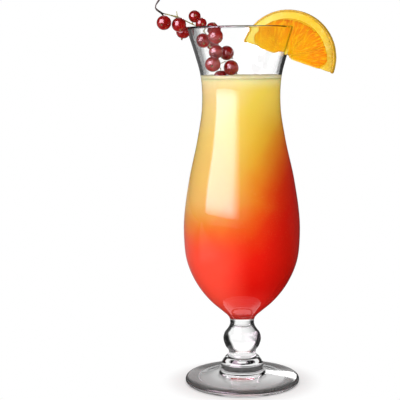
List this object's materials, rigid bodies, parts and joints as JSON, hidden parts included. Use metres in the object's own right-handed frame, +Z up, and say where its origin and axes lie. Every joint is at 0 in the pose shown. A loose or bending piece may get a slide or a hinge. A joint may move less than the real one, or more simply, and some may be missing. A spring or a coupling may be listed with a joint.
{
  "type": "garnished cocktail glass",
  "caption": "Tall hurricane cocktail glass on a knopped stem, filled with a layered drink, with an orange half slice and a redcurrant sprig that lift off the rim.",
  "frame": {"origin": "centre of the flat ring under the foot, on the glass's axis at table level", "axes": "+Z up along the glass's axis, +X towards the orange slice's side of the rim, -Y towards the viewer of the picture"},
  "size_m": [0.1163, 0.0766, 0.2548],
  "materials": {
    "clear_glass": "polished, colourless",
    "red_syrup": "cloudy red liquid",
    "orange_blend": "cloudy orange liquid",
    "yellow_juice": "cloudy yellow liquid",
    "foam": "fine bubbles",
    "zest": "waxy, pored peel",
    "pith": "soft, dull",
    "orange_flesh": "wet juice sacs",
    "membrane": "moist, translucent",
    "green_stalk": "dull, fibrous",
    "currant_skin": "glossy, translucent",
    "dry_calyx": "dry, papery"
  },
  "bodies": {
    "glass": {"flared_mouth": "clear_glass", "bowl": "clear_glass", "knop_stem": "clear_glass", "foot": "clear_glass", "syrup_layer": "red_syrup", "blend_layer": "orange_blend", "juice_layer": "yellow_juice", "froth": "foam"},
    "orange_slice": {"orange_zest": "zest", "orange_pith": "pith", "orange_membranes": "membrane", "orange_segment_1": "orange_flesh", "orange_segment_2": "orange_flesh", "orange_segment_3": "orange_flesh", "orange_segment_4": "orange_flesh", "orange_segment_5": "orange_flesh"},
    "currant_sprig": {"sprig_stem": "green_stalk", "currant_01": "currant_skin", "currant_02": "currant_skin", "currant_03": "currant_skin", "currant_04": "currant_skin", "currant_05": "currant_skin", "currant_06": "currant_skin", "currant_07": "currant_skin", "currant_08": "currant_skin", "currant_09": "currant_skin", "currant_10": "currant_skin", "currant_11": "currant_skin", "currant_12": "currant_skin", "currant_13": "currant_skin", "currant_14": "currant_skin", "calyx_01": "dry_calyx", "calyx_02": "dry_calyx", "calyx_03": "dry_calyx", "calyx_04": "dry_calyx", "calyx_05": "dry_calyx", "calyx_06": "dry_calyx", "calyx_07": "dry_calyx", "calyx_08": "dry_calyx", "calyx_09": "dry_calyx", "calyx_10": "dry_calyx", "calyx_11": "dry_calyx", "calyx_12": "dry_calyx", "calyx_13": "dry_calyx", "calyx_14": "dry_calyx"}
  },
  "joints": [
    {"name": "orange_lift", "type": "slide", "parent": "glass", "child": "orange_slice", "axis": [0.2743, -0.0735, 0.9588], "range_m": [0, 0.035]},
    {"name": "sprig_lift", "type": "slide", "parent": "glass", "child": "currant_sprig", "axis": [0, 0, 1], "range_m": [0, 0.06]}
  ]
}
